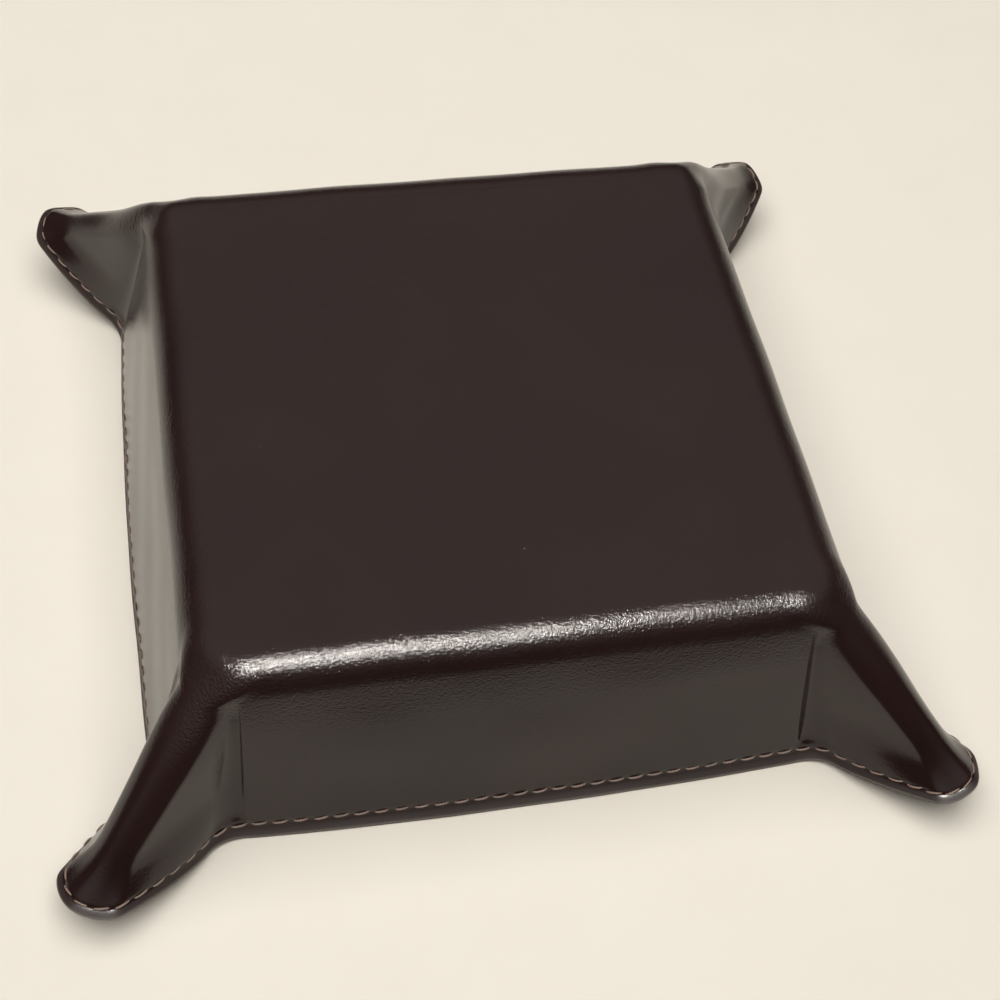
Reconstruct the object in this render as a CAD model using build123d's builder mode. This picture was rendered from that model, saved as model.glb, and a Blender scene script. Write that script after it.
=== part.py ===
from build123d import *
import os
from bisect import bisect_right
from collections import namedtuple
from math import asin, atan2, cos, hypot, pi, radians, sin, sqrt, tan

# A square valet tray of formed leather, standing on its rim with its base up.
# One sheet of leather covers a base board and four wall boards, a lining closes the
# inside, and at each corner both sheets run out into an open ear with no board in it.
# X and Y run along the walls, Z up, and z = 0 is the surface that the rims stand on.

# Driving dimensions, in millimetres
base_width = 150.0  # over the rolled edges of the base
wall_spread = 10.0  # of a wall's rim past the base
tray_height = 48.5
roll_radius = 10.0  # of the soft edge all round the base, on the outside
rim_crease_inset = 20.5  # along a rim, from the next wall to the crease
wall_bow = 1.5  # how far a rim bellies out midway
base_bow = 0.2  # the same along the edges of the base

# Ears
ear_reach = 17.0  # of an ear's tip past the rims of its walls, along X and Y
ear_lift = 10.0  # height of an ear's tip above the surface under the tray
ear_tip_radius = 8.5  # in plan, at the tip
ridge_angle = 52.0  # degrees round the roll, up to which an ear's ridge runs straight
base_corner_radius = 7.0  # in plan, at the foot of the roll
top_corner_radius = 5.8  # in plan, on the flat of the base
base_corner_pull = 0.3  # how far the ridge draws out the corner of the base
crease_clearance = 1.6  # along a wall, from a crease's bend to the corner's rounding
rim_bend = 5.5  # from a crease to where the lines of wall and ear meet, at the rim
top_bend = 1.5  # the same at the top of a crease
brim_width = 4.5  # height of the flared stitched margin at an ear's tip
brim_flare = 2.4  # how far that margin stands out

# Layers
leather_thickness = 1.3
lining_thickness = 0.9
board_thickness = 2.0
glue_line = 0.05  # left between two bonded layers
base_board_inset = 1.0  # from the start of the roll
base_board_corner = 4.0  # radius
wall_board_inset = 1.5  # from a crease
wall_board_foot = 7.5  # from the rim up to the board, which clears the stitches
wall_board_head = 1.5  # from the board up to the start of the roll

# Stitches
thread_diameter = 0.7
stitch_pitch = 4.55
stitch_length = 3.4  # what shows between two needle holes
stitch_margin = 3.2  # from the cut edge, up the leather
thread_seat = 0.12  # between a stitch and the face that it lies on

# Working values
corners = 4
quarter_turn = 360 / corners
overrun = 3.0  # of every cutting form past what it cuts
roll_steps = 6  # facets round the rolled edge
path_steps = 16  # points along each stretch of an outline that the stitches follow
seat_passes = 5  # that settle a stitch at its margin from the edge
slope_step = 0.05  # rise that gives the slope of a face
diagonal = sqrt(2) / 2

# Places that follow from them
half_rim = base_width / 2 + wall_spread
rim_crease = half_rim - rim_crease_inset
ear_tip = half_rim + ear_reach
roll_centre = base_width / 2 - roll_radius
roll_height = tray_height - roll_radius
wall_lean = atan2(half_rim - roll_centre, roll_height) - asin(
    roll_radius / hypot(half_rim - roll_centre, roll_height)
)
lining_depth = leather_thickness + glue_line
board_depth = lining_depth
board_back = board_depth + board_thickness
inside_depth = lining_depth + lining_thickness
ear_hinge = (rim_crease + rim_bend + half_rim) / 2

# A ring is the tray's level outline at one height and one depth under the outer face.
# half: from the middle to a wall. crease: from the middle to a crease. bend: from there
# to where wall and ear would meet in a corner. reach: from the middle to an ear's tip,
# along X or Y. radius: of the tip. bow: belly of the walls.
Ring = namedtuple("Ring", "z half crease bend reach radius bow")


def corner_radius(angle):
    """The radius of the roll's corner in plan, at an angle round the roll.

    Up to the ridge angle the corner lies on a straight ridge, which runs on down to the
    tip of the ear. From there the radius runs evenly to that of the flat of the base.
    """
    foot_reach = roll_centre + roll_radius * cos(wall_lean) + base_corner_pull
    foot_reach -= base_corner_radius * (1 - diagonal)
    foot_height = roll_height + roll_radius * sin(wall_lean)
    slope = (ear_tip - brim_flare * diagonal - foot_reach) / (foot_height - ear_lift)
    highest = radians(ridge_angle)
    on_ridge = min(angle, highest)
    reach = foot_reach - slope * roll_radius * (sin(on_ridge) - sin(wall_lean))
    corner = roll_centre + roll_radius * cos(on_ridge) + base_corner_pull
    radius = (corner - reach) / (1 - diagonal)
    past = (angle - on_ridge) / (pi / 2 - highest)
    return radius + past * (top_corner_radius - radius)


def roll_ring(angle, depth):
    """The outline at an angle round the roll, from level (0) to the flat of the base."""
    half = roll_centre + (roll_radius - depth) * cos(angle)
    radius = corner_radius(angle) - depth * cos(angle)
    reach = half + base_corner_pull - radius * (1 - diagonal)
    overlap = sqrt(base_corner_pull * (2 * radius - base_corner_pull))
    crease = half + base_corner_pull - radius - overlap - crease_clearance - top_bend
    z = roll_height + (roll_radius - depth) * sin(angle)
    return Ring(z, half, crease, top_bend, reach, radius, base_bow)


def brim(z):
    """How far an ear's margin stands out at a height."""
    return brim_flare * max(0, ear_lift + brim_width - z) / brim_width


def wall_ring(z, depth):
    """The outline at a height on the walls, where the ears grow downwards."""
    head, outer_head = roll_ring(wall_lean, depth), roll_ring(wall_lean, 0)
    fall = head.z - z
    rim_share = fall / outer_head.z
    tip_share = fall / (outer_head.z - ear_lift)
    ridge_run = ear_tip - brim_flare * diagonal - outer_head.reach
    tip_growth = ear_tip_radius - brim_flare - outer_head.radius
    half = head.half + fall * tan(wall_lean)
    crease = outer_head.crease + rim_share * (rim_crease - outer_head.crease)
    bend = top_bend + rim_share * (rim_bend - top_bend)
    reach = head.reach + tip_share * ridge_run + brim(z) * diagonal
    radius = head.radius + tip_share * tip_growth + brim(z)
    bow = base_bow + rim_share * (wall_bow - base_bow)
    return Ring(z, half, crease, bend, reach, radius, bow)


def rings(depth, lowest):
    """The outlines of the face at one depth, from the rim up to the flat of the base."""
    foot = roll_ring(wall_lean, depth).z
    brim_top = ear_lift + brim_width
    heights = [lowest, ear_lift / 2, ear_lift, ear_lift + brim_width / 2, brim_top]
    heights.append((brim_top + foot) / 2)
    rise = (pi / 2 - wall_lean) / roll_steps
    roll = [roll_ring(wall_lean + step * rise, depth) for step in range(roll_steps + 1)]
    return [wall_ring(z, depth) for z in heights] + roll


def ear_turn(ring):
    """The angle from a wall to the side of the ear that follows it."""
    centre = ring.reach - ring.radius * diagonal
    run, drop = centre - ring.crease - ring.bend, ring.half - centre
    return asin(ring.radius / hypot(run, drop)) - atan2(drop, run)


def outline_point(ring, stretch, share):
    """A point of the outline from the middle of the front wall to the tip of the ear."""
    turn = ear_turn(ring)
    if stretch == "wall":
        return Vector(share * ring.crease, -ring.half - ring.bow * (1 - share**2))
    if stretch == "bend":
        bend_radius = ring.bend / tan(turn / 2)
        angle = share * turn
        start = Vector(ring.crease, -ring.half)
        return start + Vector(sin(angle), cos(angle) - 1) * bend_radius
    if stretch == "side":
        start = outline_point(ring, "bend", 1)
        return start + (outline_point(ring, "tip", 0) - start) * share
    centre = ring.reach - ring.radius * diagonal
    angle = share * (pi / 4 + turn) - turn
    return Vector(centre, -centre) + Vector(sin(angle), -cos(angle)) * ring.radius


def mirrored(point):
    """The same point on the other side of the front right ear."""
    return Vector(-point.Y, -point.X, point.Z)


def ring_face(ring):
    """One outline as a level face: at each corner an ear, and a wall after it."""
    start, middle, side = [outline_point(ring, "bend", share) for share in (0, 0.5, 1)]
    edge, tip = outline_point(ring, "tip", 0), outline_point(ring, "tip", 1)
    wall_end, belly = mirrored(start), Vector(ring.half + ring.bow, 0)
    with BuildSketch(Plane.XY.offset(ring.z)) as outline:
        with BuildLine():
            for quarter in range(corners):
                turn = quarter_turn * quarter
                stretches = [
                    (start, middle, side),
                    (side, edge),
                    (edge, tip, mirrored(edge)),
                    (mirrored(edge), mirrored(side)),
                    (mirrored(side), mirrored(middle), wall_end),
                    (wall_end, belly, Vector(wall_end.X, -wall_end.Y)),
                ]
                for stretch in stretches:
                    points = [point.rotate(Axis.Z, turn) for point in stretch]
                    if len(points) == 2:
                        Line(*points)
                    else:
                        ThreePointArc(*points)
        make_face()
    return outline.sketch


def form_faces(depth, lowest):
    """The faces that a ruled loft joins into the form inside the face at one depth."""
    return [ring_face(ring) for ring in rings(depth, lowest)]


def rim_height(point):
    """Height of the rim's edge over a point: nothing at the walls, rising along an ear."""
    out = (abs(point.X) + abs(point.Y)) / 2 - ear_hinge
    return max(0, ear_lift * out / (ear_tip - ear_hinge))


def ear_cut(quarter):
    """The plane that one ear's rim lies in, facing up."""
    slope = Vector(ear_tip - ear_hinge, ear_hinge - ear_tip, ear_lift)
    along = Vector(diagonal, diagonal)
    up = slope.cross(along) if slope.cross(along).Z > 0 else along.cross(slope)
    turn = quarter_turn * quarter
    return Plane(
        origin=Vector(ear_hinge, -ear_hinge).rotate(Axis.Z, turn),
        x_dir=along.rotate(Axis.Z, turn),
        z_dir=up.rotate(Axis.Z, turn),
    )


def slab_face(z, near, far, spread):
    """A level slice of a slab in the front wall, between two depths under its face."""
    with BuildSketch(Plane.XY.offset(z)) as outline:
        with BuildLine():
            ends = []
            for depth in (near, far):
                ring = wall_ring(z, depth)
                length = ring.crease - wall_board_inset + spread
                end = outline_point(ring, "wall", length / ring.crease)
                ThreePointArc((-end.X, end.Y), (0, -ring.half - ring.bow), (end.X, end.Y))
                ends.append(end)
            for side in (-1, 1):
                Line(*[(side * end.X, end.Y) for end in ends])
        make_face()
    return outline.sketch


def wall_slab(near, far, spread):
    """A slab of the front wall over its board, grown all round by a spread."""
    low = wall_board_foot - spread
    high = roll_ring(wall_lean, board_back).z - wall_board_head + spread
    with BuildPart() as slab:
        loft([slab_face(z, near, far, spread) for z in (low, high)], ruled=True)
    return slab.part


def base_slab(near, far, spread):
    """A slab under the base over its board, grown all round by a spread."""
    width = 2 * (roll_centre - base_board_inset + spread)
    with BuildPart() as slab:
        with BuildSketch(Plane.XY.offset(tray_height - far)):
            RectangleRounded(width, width, base_board_corner + spread)
        extrude(amount=far - near)
    return slab.part


def stitch_path(depth):
    """Points and upward slopes of the face along the stitches, round one quarter."""
    half_path = []
    for stretch in ("wall", "bend", "side", "tip"):
        for step in range(path_steps):
            share = (step + 1) / path_steps
            z, up = stitch_margin, Vector(0, 0, 1)
            for _ in range(seat_passes):
                point = outline_point(wall_ring(z, depth), stretch, share)
                z = rim_height(point) + stitch_margin * up.Z
                low = outline_point(wall_ring(z, depth), stretch, share) + Vector(0, 0, z)
                z_over = z + slope_step
                high = outline_point(wall_ring(z_over, depth), stretch, share)
                up = (high + Vector(0, 0, z_over) - low).normalized()
            half_path.append((low, up))
    rest = [(mirrored(point), mirrored(up)) for point, up in reversed(half_path[:-1])]
    return half_path + rest


def stitch_seats(depth, side):
    """A place for each stitch on the face at one depth; side is 1 outwards, -1 inwards."""
    quarter_path = stitch_path(depth)
    path = [
        (point.rotate(Axis.Z, quarter_turn * quarter), up.rotate(Axis.Z, quarter_turn * quarter))
        for quarter in range(corners)
        for point, up in quarter_path
    ]
    path.append(path[0])
    run = [0]
    for (start, _), (end, _) in zip(path, path[1:]):
        run.append(run[-1] + (end - start).length)

    def along(distance):
        distance = distance % run[-1]
        place = min(bisect_right(run, distance), len(run) - 1)
        share = (distance - run[place - 1]) / (run[place] - run[place - 1])
        (start, low), (end, high) = path[place - 1], path[place]
        return start + (end - start) * share, low + (high - low) * share

    count = round(run[-1] / stitch_pitch)
    seats = []
    for number in range(count):
        distance = (number + 0.5) * run[-1] / count
        start, end = [along(distance + half * stitch_length / 2)[0] for half in (-1, 1)]
        middle, up = along(distance)
        ahead = (end - start).normalized()
        out = ahead.cross(up).normalized() * side
        bridge = max(0, ((start + end) / 2 - middle).dot(out))
        centre = middle + out * (bridge + thread_seat + thread_diameter / 2)
        seats.append(Plane(origin=centre, x_dir=ahead, z_dir=out).location)
    return seats


os.makedirs("parts", exist_ok=True)

with BuildPart() as outer_leather:
    loft(form_faces(0, 0), ruled=True)
    loft(form_faces(leather_thickness, -overrun), ruled=True, mode=Mode.SUBTRACT)
    for quarter in range(corners):
        split(bisect_by=ear_cut(quarter), keep=Keep.TOP)
outer_leather.part.label = "outer_leather"
export_step(outer_leather.part, "parts/outer_leather.step")

# The boards: one under the base and one in each wall, with soft leather between them
with BuildPart() as base_board:
    add(base_slab(board_depth, board_back, 0))
base_board.part.label = "base_board"
export_step(base_board.part, "parts/base_board.step")

for quarter, wall in enumerate(("front", "right", "back", "left")):
    with BuildPart() as wall_board:
        with Locations(Location((0, 0, 0), (0, 0, quarter_turn * quarter))):
            add(wall_slab(board_depth, board_back, 0))
    wall_board.part.label = f"{wall}_wall_board"
    export_step(wall_board.part, f"parts/{wall}_wall_board.step")

# The hollow inside the lining, which steps over the boards
with BuildPart() as hollow:
    loft(form_faces(inside_depth, -overrun), ruled=True)
    add(base_slab(0, board_back + glue_line + lining_thickness, glue_line + lining_thickness),
        mode=Mode.SUBTRACT)
    with PolarLocations(0, corners):
        add(wall_slab(0, board_back + glue_line + lining_thickness, glue_line + lining_thickness),
            mode=Mode.SUBTRACT)

with BuildPart() as lining:
    loft(form_faces(lining_depth, 0), ruled=True)
    add(base_slab(0, board_back + glue_line, glue_line), mode=Mode.SUBTRACT)
    with PolarLocations(0, corners):
        add(wall_slab(0, board_back + glue_line, glue_line), mode=Mode.SUBTRACT)
    add(hollow.part, mode=Mode.SUBTRACT)
    for quarter in range(corners):
        split(bisect_by=ear_cut(quarter), keep=Keep.TOP)
lining.part.label = "lining"
export_step(lining.part, "parts/lining.step")

# One stitch, lying along X
with BuildPart() as stitch:
    with BuildSketch(Plane.XY):
        SlotOverall(stitch_length, thread_diameter)
        split(bisect_by=Plane.XZ, keep=Keep.TOP)
    revolve(axis=Axis.X)

with BuildPart() as needle_thread:
    with Locations(*stitch_seats(0, 1)):
        add(stitch.part)
needle_thread.part.label = "needle_thread"
export_step(needle_thread.part, "parts/needle_thread.step")

with BuildPart() as bobbin_thread:
    with Locations(*stitch_seats(inside_depth, -1)):
        add(stitch.part)
bobbin_thread.part.label = "bobbin_thread"
export_step(bobbin_thread.part, "parts/bobbin_thread.step")
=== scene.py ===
"""A formed leather valet tray, lying on its rim on a pale floor with its base up.

Shapes are worked out in millimetres, with X and Y along the walls and Z up, and their
meshes are made in metres. The tray's faces are surfaces of two parameters: a place round
the tray, and a level from the rim over the rolled edge to the middle of the base.
"""
from collections import namedtuple

import bpy
import numpy as np
from mathutils import Matrix, Vector


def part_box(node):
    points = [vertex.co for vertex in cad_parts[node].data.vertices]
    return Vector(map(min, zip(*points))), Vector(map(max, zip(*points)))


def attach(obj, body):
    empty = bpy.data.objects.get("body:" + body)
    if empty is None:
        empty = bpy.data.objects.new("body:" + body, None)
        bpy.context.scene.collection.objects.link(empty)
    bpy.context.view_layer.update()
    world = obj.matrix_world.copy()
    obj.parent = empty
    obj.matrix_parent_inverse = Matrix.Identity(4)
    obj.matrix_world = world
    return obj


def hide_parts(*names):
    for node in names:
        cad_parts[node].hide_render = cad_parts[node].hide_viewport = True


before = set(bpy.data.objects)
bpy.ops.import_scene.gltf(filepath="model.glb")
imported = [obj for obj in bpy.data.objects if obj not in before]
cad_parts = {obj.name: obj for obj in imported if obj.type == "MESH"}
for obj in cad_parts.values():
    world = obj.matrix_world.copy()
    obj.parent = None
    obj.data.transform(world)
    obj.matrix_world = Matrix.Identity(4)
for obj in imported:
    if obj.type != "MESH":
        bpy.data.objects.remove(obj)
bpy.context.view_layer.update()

MILLIMETRE = 0.001  # metres
DIAGONAL = np.sqrt(0.5)

# The tray's sizes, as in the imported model
BASE_WIDTH = 150.0
WALL_SPREAD = 10.0  # of a wall's rim past the base
TRAY_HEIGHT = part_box("outer_leather")[1].z / MILLIMETRE
ROLL_RADIUS = 10.0
RIM_CREASE_INSET = 20.5
WALL_BOW = 1.5
BASE_BOW = 0.2
EAR_REACH = 17.0  # of an ear's tip past the rims of its walls
EAR_LIFT = 10.0
EAR_TIP_RADIUS = 8.5
RIDGE_ANGLE = 52.0  # degrees round the roll, up to which an ear's ridge runs straight
BASE_CORNER_RADIUS = 7.0
TOP_CORNER_RADIUS = 5.8
BASE_CORNER_PULL = 0.3
CREASE_CLEARANCE = 1.6
RIM_BEND = 5.5
TOP_BEND = 1.5
BRIM_WIDTH = 4.5
BRIM_FLARE = 2.4
LEATHER_THICKNESS = 1.3
LINING_THICKNESS = 0.9
BOARD_THICKNESS = 2.0
GLUE_LINE = 0.05
STITCH_PITCH = 4.55
STITCH_MARGIN = 3.3
THREAD_DIAMETER = 0.52

# Places that follow from them
HALF_RIM = BASE_WIDTH / 2 + WALL_SPREAD
RIM_CREASE = HALF_RIM - RIM_CREASE_INSET
EAR_TIP = HALF_RIM + EAR_REACH
ROLL_CENTRE = BASE_WIDTH / 2 - ROLL_RADIUS
ROLL_HEIGHT = TRAY_HEIGHT - ROLL_RADIUS
WALL_LEAN = np.arctan2(HALF_RIM - ROLL_CENTRE, ROLL_HEIGHT) - np.arcsin(
    ROLL_RADIUS / np.hypot(HALF_RIM - ROLL_CENTRE, ROLL_HEIGHT)
)
LINING_DEPTH = LEATHER_THICKNESS + GLUE_LINE
INSIDE_DEPTH = LINING_DEPTH + LINING_THICKNESS
EAR_HINGE = (RIM_CREASE + RIM_BEND + HALF_RIM) / 2

# What the soft leather does between and over its boards
EAR_TIP_HEIGHTS = (11.0, 15.0, 17.0, 9.6)  # front right, back right, back left, front left
EAR_TIP_SWAYS = (-1.5, 0.0, 0.0, 1.5)  # of each tip, towards the back of the tray
EAR_BEND_STARTS = (77.5, 71.0, 71.0, 77.5)  # out from the middle, where an ear starts to bend
EAR_BEND_POWERS = (2.0, 1.1, 1.1, 2.0)
CORNER_LIFTS = (0.0, 2.6, 2.6, 0.0)  # of the ridge where it leaves the roll
CORNER_LIFT_REACH = 73.0
CORNER_LIFT_WIDTH = 6.0
BRIM_SOFTNESS = 0.8  # of the kink above the stitched margin
RIM_SOFTNESS = 1.6  # of the rim's turn from wall to ear
EAR_DISH = 1.2  # how far the side of an ear sinks in
EAR_DISH_PLACE_SHARE = 0.48  # of the way from the ridge to the crease
EAR_DISH_WIDTH_SHARE = 0.34
EAR_DISH_FADE_SHARE = 0.6  # of the way from the roll to the rim, over which it fades in
CREASE_DENT = 1.1  # that the leather drops past the end of a wall board
CREASE_DENT_WIDTH = 1.2
CREASE_HOLLOW_WIDTH = 5.5  # over which it climbs back to the ear's side
CREASE_END = 3.0  # above the stitches, over which a crease runs out
CREASE_HEAD_SHARE = 1 / 12  # of the way up a wall, over which it runs out below the roll
RIM_FLARE = 1.5  # that the front margin turns out, below the stitches
EAR_FLARE_SHARE = 0.3  # of it that is left at the tip of an ear
RIM_HUMP = 0.5  # that the rim rises over a crease
RIM_HUMP_WIDTH = 3.5
BASE_CROWN = 0.25
BASE_LINE_DENT = 0.05  # over the edge of the base board
BASE_LINE_WIDTH = 0.8
RIPPLE_HEIGHT = 0.05
RIPPLE_WAVES = (  # radians a millimetre along X, Y and Z, and a phase
    (0.21, 0.09, 0.13, 0.4),
    (-0.11, 0.19, 0.17, 2.1),
    (0.05, -0.13, 0.31, 4.4),
)
LINING_STEP_RUN = 1.8  # over which the lining climbs onto a board
WALL_BOARD_FOOT = 7.5
WALL_BOARD_HEAD = 1.5
WALL_BOARD_INSET = 1.5
BASE_BOARD_INSET = 1.0
GROOVE = 0.08  # that the row of stitches pulls into the leather
GROOVE_WIDTH = 0.7
HOLE = 0.12  # depth of a needle's hole below the groove
HOLE_WIDTH = 0.45
LEATHER_RAISE = 0.06  # of the leather's edge over the lining's, at the rim
EDGE_BULGE_SHARE = 0.4  # of half a sheet's thickness, at its cut edge
EDGE_SQUARENESS = 0.6  # power of the edge's section: 1 is round, less is squarer

# The thread's floats, each from one needle hole to the next
FLOAT_HALF_SHARE = 0.42  # of a stitch's pitch, from a float's middle to its end
FLOAT_RISE = 0.14  # of its middle over the face
FLOAT_DIP = 0.5  # of its ends below its middle
FLOAT_END_TAPER = 0.45  # of the thread's thickness, close to its ends
FLOAT_TAPER = 0.1  # of the thread's thickness, all along
FLOAT_LEAN = 0.2  # of its ends across the row
FLOAT_SAG = 0.12  # of its middle across the row
FLOAT_UNEVENNESS = 0.05
FLOAT_SPREAD = 0.03  # share by which a float's length varies
FLOAT_RINGS, FLOAT_SIDES = 9, 6
FLOAT_STRIPE_STEP = 2.5  # that sets the stripes of two neighbours apart

# How finely the faces are worked out
COLUMNS_PER_STITCH = 7
STRETCHES = 8  # in a quarter: wall, bend, side and tip of an ear, and back
PLACE_STEP = 0.02  # of a stretch, along the line of the stitches
LINE_STEP = 0.3  # up and down from the line of the stitches, to know its face
UP_STEP = 0.4  # up from it, to know which way is up
HEIGHT_STEP = 0.05
HEIGHT_ROUNDS = 8
SMALLEST_LENGTH = 1e-9
MARGIN_RISES = np.array(
    [0, 0.5, 1.1, 1.7, 2.2, 2.6, 2.95, 3.3, 3.65, 4.0, 4.4, 5.0, 5.8, 6.8]
)
CLIMBS = np.linspace(0, 1, 14)[1:-1]
ANGLES = np.linspace(WALL_LEAN, np.pi / 2, 14)
BASE_SHARES = np.array([0.996, 0.99, 0.98, 0.965, 0.94, 0.89, 0.8, 0.6, 0.35, 0.1])
BACK_RISES = np.array([0, 3.0, 7.0, 7.0, 7.0, 7.0])
BACK_CLIMBS = np.array([0, 0, 0, 0.3, 0.6, 0.9])
EDGE_MARK, BACK_MARK = -0.5, -1.0  # stand for a height on a cut edge and on a hidden face

# Sizes in the finishes, in metres
PEBBLE_SIZE, PORE_SIZE, GRAIN_HEIGHT = 0.0006, 0.0004, 0.00012
GRAIN_FADE = (0.028, 0.041)  # heights between which the leather's grain gets its full depth
GRAIN_LEFT = 0.3  # share of the grain's depth that is left on the walls
LINT_SPACING, LINT_SIZES = 0.011, (0.01, 0.024)  # the sizes are shares of the spacing

# The camera and the room, in metres
CAMERA_PLACE, CAMERA_TARGET = (-0.0620, -0.2496, 0.3482), (0.0040, -0.0178, 0.0240)
CAMERA_LENS = 59.9  # millimetres
CAMERA_ROLL = 6.73  # degrees
CAMERA_NEAR = 0.01
FLOOR_HALF = 2.5
SHEET_FRONT, SHEET_BACK, SHEET_SIDE = -0.15, 0.35, 0.5  # of the floor's pale part, as a gloss shows it; past it the floor is painted dark in reflections
ROOM_COLOUR = (0.56, 0.54, 0.51, 1)
# Dark of the room towards the horizon, and of the floor's painted dark reflection past the
# sheet
DARK_COLOUR = (0.06, 0.055, 0.05, 1)
ROOM_TOP, ROOM_FOOT = 0.7, 0.35  # heights between which the room turns dark, 1 is overhead
STRIPS = (  # each lamp of the front roll's highlight: its middle, width and radiance
    ("strip", -0.06, 0.42, 330),
    ("strip_fade", 0.205, 0.11, 150),
    ("strip_end", 0.39, 0.26, 32),
)
STRIP_FRONT, STRIP_HEIGHT, STRIP_THICKNESS = -0.66, 1.3, 0.07
STRIP_TARGET, STRIP_COLOUR = (0, -0.07, 0.04), (1.0, 0.96, 0.9)
CEILING_PLACE, CEILING_SIZE, CEILING_RADIANCE = (-0.15, -0.05, 1.6), 2.2, 2.75
CEILING_COLOUR = (1.0, 0.98, 0.95)

Ring = namedtuple("Ring", "z half crease bend reach radius bow")
Columns = namedtuple("Columns", "quarter back stretch share")


def soft_positive(value, softness):
    """The value where it is positive and nothing where it is negative, with a round turn."""
    return (value + np.hypot(value, softness)) / 2


def smooth_step(value):
    """0 below 0, 1 above 1, and 3v² - 2v³ between."""
    value = np.clip(value, 0, 1)
    return value * value * (3 - 2 * value)


def bump(distance, width):
    """A bell: e to the power of minus the square of distance over width."""
    return np.exp(-((distance / width) ** 2))


def columns_at(places):
    """Splits places round the tray, counted in stretches, into quarter, side and stretch."""
    quarter, local = np.divmod(places, STRETCHES)
    back = local > STRETCHES / 2
    local = np.where(back, STRETCHES - local, local)
    stretch = np.minimum(np.floor(local), STRETCHES / 2 - 1)
    return Columns(quarter.astype(int), back, stretch.astype(int), local - stretch)


def corner_radius(angle):
    """The radius of the roll's corner: up to the ridge angle it keeps a straight ridge.

    There the corner's reach falls in line with the ridge of the ear below, and past it
    the radius runs evenly to that of the flat of the base.
    """
    foot_reach = ROLL_CENTRE + ROLL_RADIUS * np.cos(WALL_LEAN) + BASE_CORNER_PULL
    foot_reach -= BASE_CORNER_RADIUS * (1 - DIAGONAL)
    foot_height = ROLL_HEIGHT + ROLL_RADIUS * np.sin(WALL_LEAN)
    slope = (EAR_TIP - BRIM_FLARE * DIAGONAL - foot_reach) / (foot_height - EAR_LIFT)
    highest = np.radians(RIDGE_ANGLE)
    on_ridge = np.minimum(angle, highest)
    reach = foot_reach - slope * ROLL_RADIUS * (np.sin(on_ridge) - np.sin(WALL_LEAN))
    corner = ROLL_CENTRE + ROLL_RADIUS * np.cos(on_ridge) + BASE_CORNER_PULL
    radius = (corner - reach) / (1 - DIAGONAL)
    past = (angle - on_ridge) / (np.pi / 2 - highest)
    return radius + past * (TOP_CORNER_RADIUS - radius)


def roll_ring(angle, depth):
    """The outline at an angle round the rolled edge: a circle in section, less the depth."""
    half = ROLL_CENTRE + (ROLL_RADIUS - depth) * np.cos(angle)
    radius = corner_radius(angle) - depth * np.cos(angle)
    reach = half + BASE_CORNER_PULL - radius * (1 - DIAGONAL)
    overlap = np.sqrt(BASE_CORNER_PULL * (2 * radius - BASE_CORNER_PULL))
    crease = half + BASE_CORNER_PULL - radius - overlap - CREASE_CLEARANCE - TOP_BEND
    z = ROLL_HEIGHT + (ROLL_RADIUS - depth) * np.sin(angle)
    return Ring(z, half, crease, TOP_BEND, reach, radius, BASE_BOW)


def brim(z):
    """How far an ear's margin stands out: a straight flare below a soft kink."""
    return BRIM_FLARE * soft_positive(EAR_LIFT + BRIM_WIDTH - z, BRIM_SOFTNESS) / BRIM_WIDTH


def wall_ring(z, depth):
    """The outline at a height on the walls, each size running straight from roll to rim."""
    head, outer_head = roll_ring(WALL_LEAN, depth), roll_ring(WALL_LEAN, 0)
    fall = head.z - z
    rim_share = fall / outer_head.z
    tip_share = fall / (outer_head.z - EAR_LIFT)
    ridge_run = EAR_TIP - BRIM_FLARE * DIAGONAL - outer_head.reach
    tip_growth = EAR_TIP_RADIUS - BRIM_FLARE - outer_head.radius
    half = head.half + fall * np.tan(WALL_LEAN)
    crease = outer_head.crease + rim_share * (RIM_CREASE - outer_head.crease)
    bend = TOP_BEND + rim_share**2 * (RIM_BEND - TOP_BEND)
    reach = head.reach + tip_share * ridge_run + brim(z) * DIAGONAL
    radius = head.radius + tip_share * tip_growth + brim(z)
    bow = BASE_BOW + rim_share * (WALL_BOW - BASE_BOW)
    return Ring(z, half, crease, bend, reach, radius, bow)


def outline(ring, columns):
    """X and Y of an outline at each column.

    A wall is a parabola of the ring's bow, a bend an arc that turns into the ear, a side
    a line, and a tip an arc to the ridge. The second half of a quarter mirrors the first
    in the ear's ridge.
    """
    centre = ring.reach - ring.radius * DIAGONAL
    run, drop = centre - ring.crease - ring.bend, ring.half - centre
    turn = np.arcsin(ring.radius / np.hypot(run, drop)) - np.arctan2(drop, run)
    share = columns.share
    bend_radius = ring.bend / np.tan(turn / 2)

    def bend_point(angle):
        x = ring.crease + bend_radius * np.sin(angle)
        return x, -ring.half + bend_radius * (np.cos(angle) - 1)

    def tip_point(angle):
        return centre + ring.radius * np.sin(angle), -centre - ring.radius * np.cos(angle)

    (start_x, start_y), (end_x, end_y) = bend_point(turn), tip_point(-turn)
    stretches = [
        (share * ring.crease, -ring.half - ring.bow * (1 - share**2)),
        bend_point(share * turn),
        (start_x + (end_x - start_x) * share, start_y + (end_y - start_y) * share),
        tip_point(share * (np.pi / 4 + turn) - turn),
    ]
    here = [columns.stretch == number for number in range(len(stretches))]
    shape = np.broadcast(centre, share).shape
    x, y = [
        np.select(here, [np.broadcast_to(points[axis], shape) for points in stretches])
        for axis in (0, 1)
    ]
    x, y = np.where(columns.back, -y, x), np.where(columns.back, -x, y)
    cosine = np.array([1, 0, -1, 0])[columns.quarter]
    sine = np.array([0, 1, 0, -1])[columns.quarter]
    return x * cosine - y * sine, x * sine + y * cosine


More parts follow.
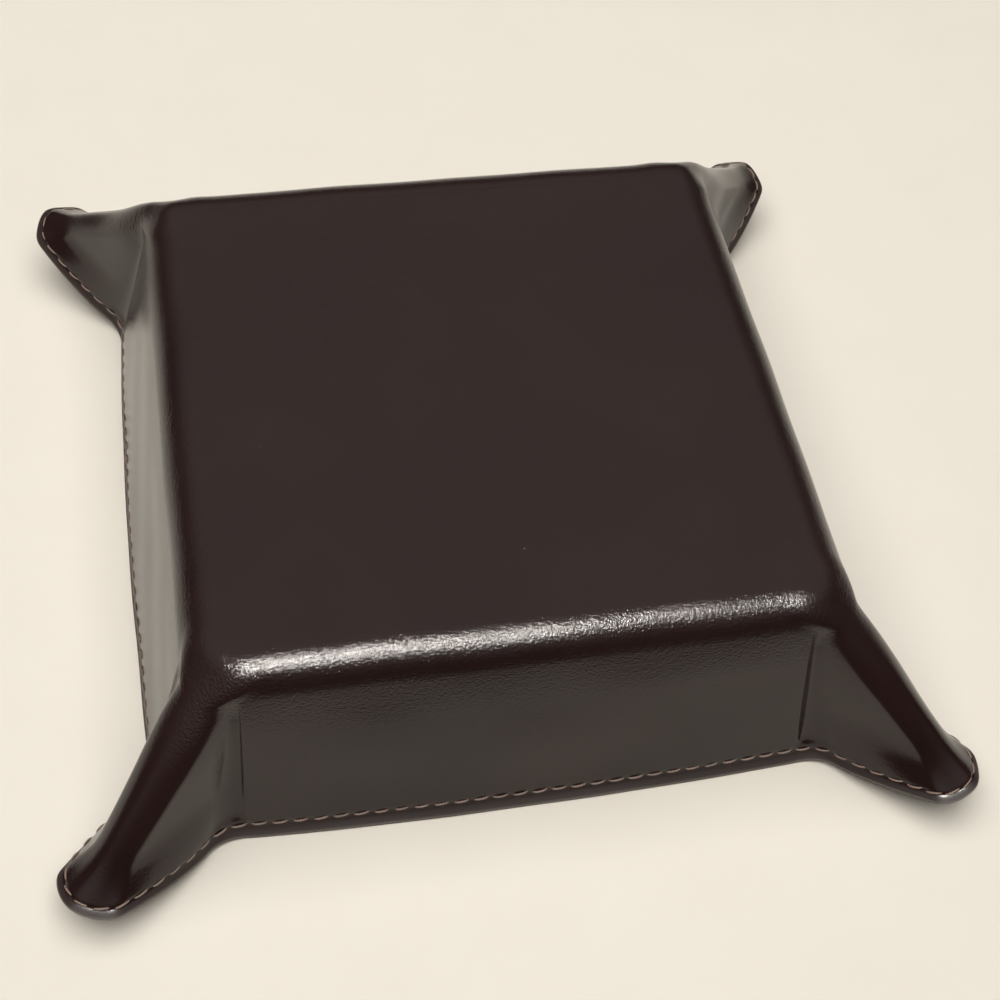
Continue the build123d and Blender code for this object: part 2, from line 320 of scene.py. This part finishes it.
def rim_height(x, y):
    """Height of the rim over a point: level along the walls, rising straight to a tip.

    At each crease it rises in a low bell, where the board ends under the leather.
    """
    out = (np.abs(x) + np.abs(y)) / 2 - EAR_HINGE
    crease = np.minimum(np.abs(x), np.abs(y)) - RIM_CREASE - RIM_BEND
    hump = RIM_HUMP * bump(crease, RIM_HUMP_WIDTH)
    return hump + EAR_LIFT * soft_positive(out, RIM_SOFTNESS) / (EAR_TIP - EAR_HINGE)


def settle(points):
    """Bends each ear to its own height and sway, which grow as a power of the way out.

    A bell lifts the ridge of an ear where it leaves the roll.
    """
    x, y, z = np.moveaxis(points, -1, 0)
    ear = np.where(y < 0, np.where(x > 0, 0, 3), np.where(x > 0, 1, 2))
    start, power = np.array(EAR_BEND_STARTS)[ear], np.array(EAR_BEND_POWERS)[ear]
    out = ((np.abs(x) + np.abs(y)) / 2 - start) / (EAR_TIP - start)
    bent = np.clip(out, 0, None) ** power
    rise = (np.array(EAR_TIP_HEIGHTS)[ear] - EAR_LIFT) * bent
    rise += (
        np.array(CORNER_LIFTS)[ear]
        * bump((np.abs(x) + np.abs(y)) / 2 - CORNER_LIFT_REACH, CORNER_LIFT_WIDTH)
        * bump(np.abs(x) - np.abs(y), CORNER_LIFT_WIDTH)
    )
    sway = np.array(EAR_TIP_SWAYS)[ear] * bent * DIAGONAL
    return np.stack([x - np.sign(x) * np.sign(y) * sway, y + sway, z + rise], axis=-1)


def ear_dish(points):
    """How far the sides of the ears sink: a bell across an ear, between ridge and crease.

    It fades in from the roll, and keeps on down to the rim.
    """
    x, y, z = np.moveaxis(points, -1, 0)
    foot = roll_ring(WALL_LEAN, 0).z
    ring = wall_ring(np.minimum(z, foot), 0)
    across = np.abs(np.abs(x) - np.abs(y)) / (ring.half - ring.crease)
    bell = bump(across - EAR_DISH_PLACE_SHARE, EAR_DISH_WIDTH_SHARE)
    return EAR_DISH * bell * smooth_step((foot - z) / (EAR_DISH_FADE_SHARE * foot))


def wall_rows(columns, rises, climbs, depth):
    """Rows of the walls and ears that follow the rim.

    A row lies its rise up the face from the rim, plus its climb's share of the rest of
    the way to the roll. Its height is found by repeating the step from height to plan.
    """
    rises, climbs = rises[:, None], climbs[:, None]
    foot = roll_ring(WALL_LEAN, depth).z
    z = rises + climbs * foot + 0 * columns.share
    for _ in range(HEIGHT_ROUNDS):
        x, y = outline(wall_ring(z, depth), columns)
        x_over, y_over = outline(wall_ring(z + HEIGHT_STEP, depth), columns)
        run = np.hypot(x_over - x, y_over - y)
        up = HEIGHT_STEP / np.hypot(run, HEIGHT_STEP)
        low = rim_height(x, y)
        z = low + rises * up + climbs * (foot - low - rises * up)
    return np.stack([x, y, z], axis=-1)


def roll_rows(columns, angles, depth):
    """Rows round the rolled edge of the base."""
    angles = angles[:, None]
    ring = roll_ring(angles, depth)
    x, y = outline(ring, columns)
    return np.stack([x, y, ring.z + 0 * x], axis=-1)


def base_rows(columns, shares, depth):
    """Rows of the flat of the base: the roll's last outline, shrunk by each row's share."""
    edge = roll_rows(columns, np.array([np.pi / 2]), 0)[0]
    flat = edge[None] * shares[:, None, None]
    flat[..., 2] = TRAY_HEIGHT - depth
    return flat


def face_normals(rows):
    """Unit normals of a grid closed round the tray: its two tangents' cross product."""
    along = np.roll(rows, -1, axis=1) - np.roll(rows, 1, axis=1)
    across = np.gradient(rows, axis=0)
    normals = np.cross(along, across)
    lengths = np.linalg.norm(normals, axis=-1, keepdims=True)
    return normals / np.maximum(lengths, SMALLEST_LENGTH)


def ripples(points):
    """Slow waves of hand work over a face: a sum of three sines of the place."""
    waves = [np.sin(points @ np.array(wave[:3]) + wave[3]) for wave in RIPPLE_WAVES]
    return RIPPLE_HEIGHT * sum(waves)


def cut_edge(outer, inner, out_way, steps):
    """A sheet's cut edge: from outer to inner over a flattened superellipse along out_way."""
    angles = np.linspace(0, np.pi, steps + 2)[1:-1, None, None]
    middle, half = (outer + inner) / 2, (outer - inner) / 2
    bulge = EDGE_BULGE_SHARE * np.linalg.norm(half, axis=-1, keepdims=True)
    over = np.sign(np.cos(angles)) * np.abs(np.cos(angles)) ** EDGE_SQUARENESS
    return middle + half * over + out_way * bulge * np.sin(angles) ** EDGE_SQUARENESS


def down_way(rows):
    """Unit vectors down the face at its first row."""
    way = rows[0] - rows[1]
    return way / np.linalg.norm(way, axis=-1, keepdims=True)


def dished(rows):
    """Rows with the sides of the ears sunk in along the face's normals."""
    return rows - face_normals(rows) * ear_dish(rows)[..., None]


def stitch_line(places, rise, depth):
    """The line that a row of stitches follows, its distance run and its length."""
    rises = rise + LINE_STEP * np.array([-1, 0, 1])
    line = dished(wall_rows(columns_at(places), rises, np.zeros(3), depth))[1]
    gaps = np.linalg.norm(np.roll(line, -1, axis=0) - line, axis=-1)
    run = np.concatenate([[0], np.cumsum(gaps)])
    return line, run[:-1], run[-1]


def even_columns(depth):
    """Places round the tray at even steps along the stitches, and the number of stitches."""
    places = np.arange(0, 4 * STRETCHES, PLACE_STEP)
    _, run, length = stitch_line(places, STITCH_MARGIN, depth)
    count = round(length / STITCH_PITCH)
    steps = np.arange(count * COLUMNS_PER_STITCH) / (count * COLUMNS_PER_STITCH)
    return np.interp(steps * length, run, places), count


def board_cover(points, columns):
    """1 over a board and 0 away from it, climbing smoothly just outside its edges."""
    x, y, z = np.moveaxis(points, -1, 0)
    crease = wall_ring(z, LINING_DEPTH).crease
    along = np.where(columns.stretch == 0, columns.share * crease, crease)
    head = roll_ring(WALL_LEAN, LINING_DEPTH + BOARD_THICKNESS).z - WALL_BOARD_HEAD
    wall = (
        smooth_step((crease - along) / WALL_BOARD_INSET)
        * smooth_step(1 + (z - WALL_BOARD_FOOT) / LINING_STEP_RUN)
        * smooth_step(1 + (head - z) / LINING_STEP_RUN)
    )
    out = np.maximum(np.abs(x), np.abs(y))
    edge = ROLL_CENTRE - BASE_BOARD_INSET
    base = smooth_step(1 + (edge - out) / LINING_STEP_RUN) * (z > head)
    return np.maximum(wall, base)


def sheet_rows(places, rises, climbs, angles, shares, depth):
    """All rows of one face of a sheet, from its rim to the middle of the base.

    Below the stitches a margin that faces the front turns out level, as the square of
    the way to the rim.
    """
    columns = columns_at(places)
    walls = wall_rows(columns, rises, climbs, depth)
    rest = [roll_rows(columns, angles, depth), base_rows(columns, shares, depth)]
    rows = dished(np.concatenate([walls, *rest]))
    flare = RIM_FLARE * np.clip(1 - rises / STITCH_MARGIN, 0, None) ** 2
    out = (np.abs(walls[0, :, 0]) + np.abs(walls[0, :, 1])) / 2 - EAR_HINGE
    kept = 1 - (1 - EAR_FLARE_SHARE) * smooth_step(out / (EAR_TIP - EAR_HINGE))
    level = face_normals(rows)[: len(walls)] * np.array([1, 1, 0])
    facing = np.clip(-level[..., 1], 0, 1)
    rows[: len(walls)] += level * (flare[:, None] * kept * facing)[..., None]
    return rows


def make_mesh(name, points, faces, uvs=None):
    """A smooth mesh object from points in millimetres and arrays of quads and triangles."""
    mesh = bpy.data.meshes.new(name)
    corners = [face for group in faces for face in group.tolist()]
    mesh.from_pydata((points * MILLIMETRE).tolist(), [], corners)
    mesh.shade_smooth()
    if uvs is not None:
        layer = mesh.uv_layers.new(name="along")
        order = np.concatenate([group.ravel() for group in faces])
        layer.data.foreach_set("uv", uvs[order].ravel().astype(np.float32))
    made = bpy.data.objects.new(name, mesh)
    bpy.context.scene.collection.objects.link(made)
    return made


def grid_faces(rows, columns):
    """Quads of a grid that is closed round its columns."""
    row, column = np.meshgrid(np.arange(rows - 1), np.arange(columns), indexing="ij")
    after = (column + 1) % columns
    corners = [row * columns + column, row * columns + after]
    corners += [(row + 1) * columns + after, (row + 1) * columns + column]
    return np.stack(corners, axis=-1).reshape(-1, 4)


def make_shell(name, rows, heights):
    """A closed sheet from a grid that starts and ends at a pole, with UV = round, height."""
    count, columns = rows.shape[:2]
    points = rows.reshape(-1, 3)
    poles = [rows[0].mean(axis=0), rows[-1].mean(axis=0)]
    first, last = count * columns, count * columns + 1
    column = np.arange(columns)
    after = (column + 1) % columns
    top = np.stack([np.full(columns, first), after, column], axis=-1)
    end = (count - 1) * columns
    bottom = np.stack([np.full(columns, last), end + column, end + after], axis=-1)
    round_share = np.broadcast_to(column / columns, (count, columns))
    up = np.broadcast_to(heights[:, None], (count, columns))
    uvs = np.stack([round_share, up], axis=-1).reshape(-1, 2)
    uvs = np.concatenate([uvs, [[0, heights[0]], [0, heights[-1]]]])
    faces = [grid_faces(count, columns), top, bottom]
    return make_mesh(name, np.concatenate([points, poles]), faces, uvs)


def wall_levels(margin, climbs):
    """Rises and climbs of the walls' rows: up the margin, then by shares of the rest."""
    rises = np.concatenate([margin, np.full(len(climbs), MARGIN_RISES[-1])])
    return rises, np.concatenate([np.zeros(len(margin)), climbs])


def stitch_dent(rises, climbs, count):
    """How deep the stitches pull the walls in, at each row and each of count columns.

    A groove runs along them, and every COLUMNS_PER_STITCH columns there is a hole.
    """
    phase = np.arange(count) / COLUMNS_PER_STITCH
    to_hole = np.abs(phase - np.round(phase)) * STITCH_PITCH
    from_stitches = (rises - STITCH_MARGIN)[:, None]
    groove = GROOVE * bump(from_stitches, GROOVE_WIDTH) * (climbs == 0)[:, None]
    return groove + HOLE * bump(np.hypot(from_stitches, to_hole), HOLE_WIDTH)


def make_leather():
    """The outer leather: a face with its dents, a rounded cut edge and a plain back."""
    places, stitches = even_columns(0)
    rises, climbs = wall_levels(MARGIN_RISES, CLIMBS)
    lift = LEATHER_RAISE + EDGE_BULGE_SHARE * LEATHER_THICKNESS / 2
    face = sheet_rows(places, rises + lift, climbs, ANGLES, BASE_SHARES, 0)
    walls = len(rises)

    dent = np.zeros(face.shape[:2])
    dent[:walls] = stitch_dent(rises + lift, climbs, len(places))
    ring = wall_ring(face[:walls, :, 2], 0)
    past = np.minimum(np.abs(face[:walls, :, 0]), np.abs(face[:walls, :, 1])) - ring.crease
    past = np.maximum(past, 0)
    fold = CREASE_DENT * (1 - np.exp(-past / CREASE_DENT_WIDTH))
    fade = smooth_step((rises - STITCH_MARGIN) / CREASE_END)
    fade *= smooth_step((1 - climbs) / CREASE_HEAD_SHARE)
    dent[:walls] += fold * bump(past, CREASE_HOLLOW_WIDTH) * fade[:, None]

    out = np.maximum(np.abs(face[..., 0]), np.abs(face[..., 1]))
    top = np.zeros(len(face), bool)
    top[walls + len(ANGLES) // 2 :] = True
    dent += BASE_LINE_DENT * bump(out - ROLL_CENTRE, BASE_LINE_WIDTH) * top[:, None]
    crown = BASE_CROWN * (1 - np.clip(out / ROLL_CENTRE, 0, 1) ** 2)
    face[..., 2] += crown * top[:, None]
    normals = face_normals(face)
    face = face + normals * (ripples(face) - dent)[..., None]

    back = sheet_rows(
        places, BACK_RISES + lift, BACK_CLIMBS,
        ANGLES[::3], BASE_SHARES[1::3], LEATHER_THICKNESS,
    )
    edge = cut_edge(face[0], back[0], down_way(face), steps=6)
    rows = np.concatenate([face[::-1], edge, back])
    rises_up = np.concatenate([rises, np.full(len(face) - walls, rises[-1])])
    heights = np.concatenate(
        [rises_up[::-1], np.full(len(edge), EDGE_MARK), np.full(len(back), BACK_MARK)]
    )
    return make_shell("formed_leather_cover", settle(rows), heights), stitches


def make_lining():
    """The lining: a sheet whose two faces step over the boards, with a rounded edge."""
    places, stitches = even_columns(INSIDE_DEPTH)
    columns = columns_at(places)
    rises, climbs = wall_levels(MARGIN_RISES, CLIMBS)
    lift = EDGE_BULGE_SHARE * LINING_THICKNESS / 2
    step = BOARD_THICKNESS + GLUE_LINE

    def stepped(level_rises, level_climbs, angles, shares, depth):
        plain = sheet_rows(places, level_rises, level_climbs, angles, shares, depth)
        cover = board_cover(plain, columns)
        return plain - face_normals(plain) * (cover * step)[..., None]

    inside = stepped(rises + lift, climbs, ANGLES, BASE_SHARES, INSIDE_DEPTH)
    walls = len(rises)
    dent = np.zeros(inside.shape[:2])
    dent[:walls] = stitch_dent(rises + lift, climbs, len(places))
    inside = inside + face_normals(inside) * dent[..., None]
    hidden_rises, hidden_climbs = wall_levels(MARGIN_RISES[::3], CLIMBS[1::2])
    hidden = stepped(
        hidden_rises + lift, hidden_climbs,
        ANGLES[::3], BASE_SHARES[1::3], LINING_DEPTH,
    )
    edge = cut_edge(hidden[0], inside[0], down_way(hidden), steps=4)
    rows = np.concatenate([hidden[::-1], edge, inside])
    rises_up = np.concatenate([rises, np.full(len(inside) - walls, rises[-1])])
    heights = np.concatenate(
        [np.full(len(hidden), BACK_MARK), np.full(len(edge), EDGE_MARK), rises_up]
    )
    return make_shell("inner_lining", settle(rows), heights), stitches


def make_stitches(name, depth, side, count, seed):
    """A row of thread floats, each a tapered tube that arches over the face.

    A float runs along its chord, leans across the row, and dips into a hole at each end.
    The side is 1 on the outer face and -1 on the inner, where out and round turn over.
    """
    random = np.random.default_rng(seed)
    places = np.arange(0, 4 * STRETCHES, PLACE_STEP)
    line, run, length = stitch_line(places, STITCH_MARGIN, depth)
    over = stitch_line(places, STITCH_MARGIN + UP_STEP, depth)[0]
    line, over = settle(line), settle(over)

    def at(distances, values):
        looped = np.concatenate([values, values[:1]])
        runs = np.concatenate([run, [length]])
        wrapped = np.mod(distances, length)
        return np.stack([np.interp(wrapped, runs, looped[:, i]) for i in range(3)], -1)

    def unit(vectors):
        return vectors / np.linalg.norm(vectors, axis=-1, keepdims=True)

    pitch = length / count
    middle = (np.arange(count) + 0.5) * pitch
    reach = STITCH_PITCH * FLOAT_HALF_SHARE
    start, end = at(middle - reach, line), at(middle + reach, line)
    ahead = unit(end - start)
    up = unit(at(middle, over) - at(middle, line))
    out = unit(np.cross(ahead, up)) * side
    up = unit(np.cross(out, ahead)) * side

    share = np.linspace(-1, 1, FLOAT_RINGS)
    around = np.linspace(0, 2 * np.pi, FLOAT_SIDES + 1)[:-1]
    radius = THREAD_DIAMETER / 2 * (1 - FLOAT_END_TAPER * share**6)
    radius *= 1 - FLOAT_TAPER * share**2
    rise = FLOAT_RISE - FLOAT_DIP * np.abs(share) ** 3
    leans, shifts, spreads = random.standard_normal((3, count))[..., None]
    lean = (FLOAT_LEAN + FLOAT_UNEVENNESS * leans) * share
    sag = FLOAT_SAG * (share**2 - 0.5) + FLOAT_UNEVENNESS * shifts
    spread = 1 + FLOAT_SPREAD * spreads
    chord = (start + end)[:, None] / 2
    path = chord + ahead[:, None] * (share * spread * reach)[..., None]
    path = path + out[:, None] * rise[None, :, None] + up[:, None] * (lean + sag)[..., None]
    across = up[:, None, None] * np.cos(around)[None, None, :, None]
    across = across + out[:, None, None] * np.sin(around)[None, None, :, None]
    points = path[:, :, None] + across * radius[None, :, None, None]

    rings, sides = len(share), len(around)
    quads = grid_faces(rings, sides)[:, :: side]
    offsets = (np.arange(count) * rings * sides)[:, None, None]
    faces = (quads[None] + offsets).reshape(-1, 4)
    corner = np.arange(sides)
    caps = np.stack([corner[::-side], (rings - 1) * sides + corner[::side]])
    caps = (caps[None] + offsets).reshape(-1, sides)
    shape = (count, rings, sides)
    runs = share[None, :] + FLOAT_STRIPE_STEP * np.arange(count)[:, None]
    runs, turns = runs[..., None], corner / sides
    uvs = [np.broadcast_to(runs, shape), np.broadcast_to(turns, shape)]
    uvs = np.stack(uvs, axis=-1).reshape(-1, 2)
    return make_mesh(name, points.reshape(-1, 3), [faces, caps], uvs)


class Value:
    """An output of a shader node. Arithmetic on it adds Math nodes to its material."""

    def __init__(self, finish, output):
        self.finish, self.output = finish, output

    def math(self, operation, *terms):
        return self.finish.node(
            "ShaderNodeMath", {"operation": operation}, dict(enumerate(terms))
        )

    def __add__(self, other):
        return self.math("ADD", self, other)

    def __mul__(self, other):
        return self.math("MULTIPLY", self, other)

    def __rsub__(self, other):
        return self.math("SUBTRACT", other, self)

    def __gt__(self, other):
        return self.math("GREATER_THAN", self, other)

    def __lt__(self, other):
        return self.math("LESS_THAN", self, other)

    __radd__, __rmul__ = __add__, __mul__


class Finish:
    """A material with a principled shader."""

    def __init__(self, name):
        self.material = bpy.data.materials.new(name)
        self.material.use_nodes = True
        self.tree = self.material.node_tree
        self.shader = self.tree.nodes["Principled BSDF"]

    def node(self, kind, settings=None, inputs=None, output=0):
        """A node of a kind, its settings set first and then its sockets fed."""
        made = self.tree.nodes.new(kind)
        for name, value in (settings or {}).items():
            setattr(made, name, value)
        for socket, value in (inputs or {}).items():
            self.feed(made.inputs[socket], value)
        return Value(self, made.outputs[output])

    def feed(self, socket, value):
        if isinstance(value, Value):
            self.tree.links.new(value.output, socket)
        else:
            socket.default_value = value

    def set(self, **sockets):
        """Feeds the shader's sockets, named with _ for a space."""
        for name, value in sockets.items():
            self.feed(self.shader.inputs[name.replace("_", " ")], value)

    def place(self):
        return self.node("ShaderNodeTexCoord", output="Object")

    def axis(self, name, coordinates="Object"):
        """One axis of the piece's own coordinates, or of its UV."""
        place = self.node("ShaderNodeTexCoord", output=coordinates)
        return self.node("ShaderNodeSeparateXYZ", {}, {0: place}, output=name)

    def noise(self, size, detail=2.0, roughness=0.5):
        """Noise with features of about a size in metres."""
        inputs = {
            "Vector": self.place(),
            "Scale": 1 / size,
            "Detail": detail,
            "Roughness": roughness,
        }
        return self.node("ShaderNodeTexNoise", {}, inputs, output="Fac")

    def cells(self, size, feature="F1"):
        """The distance to the middle of a cell, with cells of about a size in metres."""
        inputs = {"Vector": self.place(), "Scale": 1 / size}
        return self.node("ShaderNodeTexVoronoi", {"feature": feature}, inputs)

    def ease(self, value, low, high):
        """0 where the value is at low, 1 at high, and smooth between."""
        return self.node(
            "ShaderNodeMapRange",
            {"interpolation_type": "SMOOTHSTEP"},
            {"Value": value, "From Min": low, "From Max": high},
        )

    def mix(self, factor, first, second):
        return self.node(
            "ShaderNodeMix", {"data_type": "RGBA"}, {0: factor, 6: first, 7: second}, 2
        )

    def raised(self, height, distance, strength=1.0):
        """Bump from a height of 0 to 1, over a distance in metres."""
        inputs = {"Height": height, "Distance": distance, "Strength": strength}
        return self.node("ShaderNodeBump", {}, inputs)


def leather_finish():
    """Dark brown glazed leather: a pebbled grain, slow tone, lint, and a cut edge painted
    lighter, partly from wear and partly as a painted reflection of the pale floor.

    The grain is strongest on the rolled edge, where the leather is stretched.
    """
    finish = Finish("dark_brown_leather")
    tone = finish.noise(size=0.05, detail=3.0)
    dark, warm = (0.0155, 0.0062, 0.0058, 1), (0.0195, 0.0082, 0.0075, 1)
    colour = finish.mix(finish.ease(tone, low=0.35, high=0.65), dark, warm)

    speck = 1 - finish.ease(finish.cells(LINT_SPACING), *LINT_SIZES)
    some_places = finish.noise(size=0.03) > 0.56
    lint = (0.28, 0.23, 0.19, 1)
    colour = finish.mix(speck * some_places * 0.5, colour, lint)

    rise = finish.axis("Y", "UV")  # in millimetres up the face from its rim
    margin = finish.ease(rise, low=3.0, high=1.2)
    # The cut edge and the lowest strip of the face are painted lighter: partly wear, partly a
    # painted reflection of the pale floor on the glossy edge.
    edge, edge_wear_and_painted_sheen = finish.ease(rise, low=0.5, high=0.05), (0.11, 0.09, 0.075, 1)
    colour = finish.mix(edge, colour, edge_wear_and_painted_sheen)

    pebbles = finish.cells(PEBBLE_SIZE, "SMOOTH_F1")
    pores = finish.noise(PORE_SIZE, detail=2.0, roughness=0.6)
    stretched = finish.ease(finish.axis("Z"), *GRAIN_FADE)
    grain = (pebbles * 0.5 + pores * 0.8) * (GRAIN_LEFT + (1 - GRAIN_LEFT) * stretched)
    smears = finish.noise(size=0.012, detail=3.0)
    finish.set(
        Base_Color=colour,
        Roughness=0.12 + 0.06 * smears + 0.44 * margin,
        Normal=finish.raised(grain, GRAIN_HEIGHT),
        IOR=1.45,
    )
    return finish.material


def lining_finish():
    """Dark matt lining with a fine nap."""
    finish = Finish("dark_matt_lining")
    tone = finish.noise(size=0.02, detail=4.0)
    dark, light = (0.022, 0.014, 0.011, 1), (0.034, 0.022, 0.017, 1)
    nap = finish.noise(size=0.0005, detail=4.0, roughness=0.7)
    finish.set(
        Base_Color=finish.mix(finish.ease(tone, low=0.3, high=0.7), dark, light),
        Roughness=0.62 + 0.12 * finish.noise(size=0.004),
        Normal=finish.raised(nap, distance=0.00005, strength=0.8),
        IOR=1.45,
    )
    return finish.material


def thread_finish(name, light, dark):
    """Waxed thread of two plies: stripes that wind round each float, the valleys between the
    plies painted darker as shade.
    """
    finish = Finish(name)
    run, turn = finish.axis("X", "UV"), finish.axis("Y", "UV")
    winding = (run * 2.6 + turn * 2) * (2 * np.pi)
    ply = (1 + winding.math("SINE", winding)) * 0.5
    tone = finish.noise(size=0.006)
    # Painted shade: where the ply's height is low, in the valleys between plies, the colour
    # turns dark.
    colour = finish.mix(finish.ease(ply, low=0.05, high=0.6), dark, light)
    colour = finish.mix(finish.ease(tone, low=0.4, high=0.75) * 0.5, colour, dark)
    finish.set(
        Base_Color=colour,
        Roughness=0.5 + 0.2 * tone,
        Normal=finish.raised(ply, distance=0.00006),
    )
    return finish.material


def board_finish():
    """Pressed fibreboard: flecks in grey-brown."""
    finish = Finish("pressed_fibreboard")
    flecks = finish.noise(size=0.0012, detail=5.0, roughness=0.7)
    dark, light = (0.2, 0.155, 0.115, 1), (0.34, 0.28, 0.21, 1)
    finish.set(
        Base_Color=finish.mix(finish.ease(flecks, low=0.35, high=0.65), dark, light),
        Roughness=0.85,
        Normal=finish.raised(flecks, distance=0.0001),
    )
    return finish.material


def floor_finish():
    """A plain cream surface with a faint unevenness.

    In a gloss it shows as a sheet that ends a little in front of the tray: past the sheet,
    glossy rays alone see the floor painted dark, a painted dark reflection.
    """
    finish = Finish("cream_floor")
    tone = finish.noise(size=0.03, detail=5.0, roughness=0.6)
    colour = finish.mix(tone, (0.83, 0.775, 0.68, 1), (0.87, 0.82, 0.73, 1))
    x, y = finish.axis("X"), finish.axis("Y")
    across = (x > -SHEET_SIDE) * (x < SHEET_SIDE)
    painted_dark_in_gloss = 1 - (y > SHEET_FRONT) * (y < SHEET_BACK) * across
    # Painted dark reflection: past the sheet the floor turns dark for glossy rays only.
    glossy = finish.node("ShaderNodeLightPath", output="Is Glossy Ray")
    colour = finish.mix(painted_dark_in_gloss * glossy, colour, DARK_COLOUR)
    finish.set(Base_Color=colour, Roughness=0.8, Specular_IOR_Level=0.2)
    return finish.material


def paint(piece, material):
    piece.data.materials.clear()
    piece.data.materials.append(material)


def add_camera():
    """The camera at the place, height and roll that the photograph shows."""
    data = bpy.data.cameras.new("camera")
    data.lens = CAMERA_LENS
    data.clip_start = CAMERA_NEAR
    camera = bpy.data.objects.new("camera", data)
    bpy.context.scene.collection.objects.link(camera)
    place, target = Vector(CAMERA_PLACE), Vector(CAMERA_TARGET)
    aim = (target - place).to_track_quat("-Z", "Y").to_matrix()
    roll = Matrix.Rotation(np.radians(CAMERA_ROLL), 3, "Z")
    camera.matrix_world = Matrix.Translation(place) @ (aim @ roll).to_4x4()
    bpy.context.scene.camera = camera


def add_lamp(name, place, target, width, height, radiance, colour):
    """A rectangular lamp at a place, facing a target, its width along X."""
    data = bpy.data.lights.new(name, "AREA")
    data.shape, data.size, data.size_y = "RECTANGLE", width, height
    data.energy = radiance * width * height * np.pi
    data.color = colour
    lamp = bpy.data.objects.new(name, data)
    back = (Vector(place) - Vector(target)).normalized()
    side = (Vector((1, 0, 0)) - back * back.x).normalized()
    turn = Matrix((side, back.cross(side), back)).transposed()
    lamp.matrix_world = Matrix.Translation(place) @ turn.to_4x4()
    bpy.context.scene.collection.objects.link(lamp)
    return lamp


def light_room():
    """An even room, bright overhead and dark towards the horizon."""
    world = bpy.data.worlds.new("room")
    bpy.context.scene.world = world
    world.use_nodes = True
    nodes, links = world.node_tree.nodes, world.node_tree.links
    way = nodes.new("ShaderNodeTexCoord")
    parts = nodes.new("ShaderNodeSeparateXYZ")
    links.new(way.outputs["Generated"], parts.inputs[0])
    ease = nodes.new("ShaderNodeMapRange")
    ease.interpolation_type = "SMOOTHSTEP"
    ease.inputs["From Min"].default_value = ROOM_TOP
    ease.inputs["From Max"].default_value = ROOM_FOOT
    links.new(parts.outputs["Z"], ease.inputs["Value"])
    mix = nodes.new("ShaderNodeMix")
    mix.data_type = "RGBA"
    mix.inputs[6].default_value = ROOM_COLOUR
    mix.inputs[7].default_value = DARK_COLOUR
    links.new(ease.outputs[0], mix.inputs[0])
    links.new(mix.outputs[2], nodes["Background"].inputs["Color"])
    world.cycles_visibility.diffuse = False  # the ceiling alone lights, so shadows stay thin


add_camera()

leather, lining_material = leather_finish(), lining_finish()
needle_material = thread_finish(
    "tan_thread", light=(0.3, 0.2, 0.15, 1), dark=(0.13, 0.085, 0.065, 1)
)
bobbin_material = thread_finish(
    "brown_thread", light=(0.2, 0.13, 0.09, 1), dark=(0.08, 0.05, 0.035, 1)
)

cover, needle_count = make_leather()
lining, bobbin_count = make_lining()
needle = make_stitches("needle_stitches", depth=0, side=1, count=needle_count, seed=3)
bobbin = make_stitches(
    "bobbin_stitches", depth=INSIDE_DEPTH, side=-1, count=bobbin_count, seed=5
)

for piece, node, slot, material in (
    (cover, "outer_leather", "leather", leather),
    (lining, "lining", "lining", lining_material),
    (needle, "needle_thread", "thread", needle_material),
    (bobbin, "bobbin_thread", "thread", bobbin_material),
):
    paint(piece, material)
    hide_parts(node)
    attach(piece, "root")

board_material = board_finish()
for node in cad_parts:
    if node.endswith("board"):
        paint(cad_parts[node], board_material)

corners = np.array([[-1, -1, 0], [1, -1, 0], [1, 1, 0], [-1, 1, 0]]) * FLOOR_HALF
floor = make_mesh("floor", corners / MILLIMETRE, [np.array([[0, 1, 2, 3]])])
paint(floor, floor_finish())

for name, across, width, radiance in STRIPS:
    strip_place = (across, STRIP_FRONT, STRIP_HEIGHT)
    strip = add_lamp(
        name, strip_place, STRIP_TARGET, width, STRIP_THICKNESS, radiance, STRIP_COLOUR
    )
    strip.visible_diffuse = False  # it only shines in the gloss, as a far narrow window would
ceiling = add_lamp(
    "ceiling", CEILING_PLACE, (0, 0, 0), CEILING_SIZE, CEILING_SIZE,
    CEILING_RADIANCE, CEILING_COLOUR,
)
ceiling.visible_glossy = False  # it only lights, and leaves no window in the gloss
light_room()
bpy.context.scene.view_settings.view_transform = "Standard"
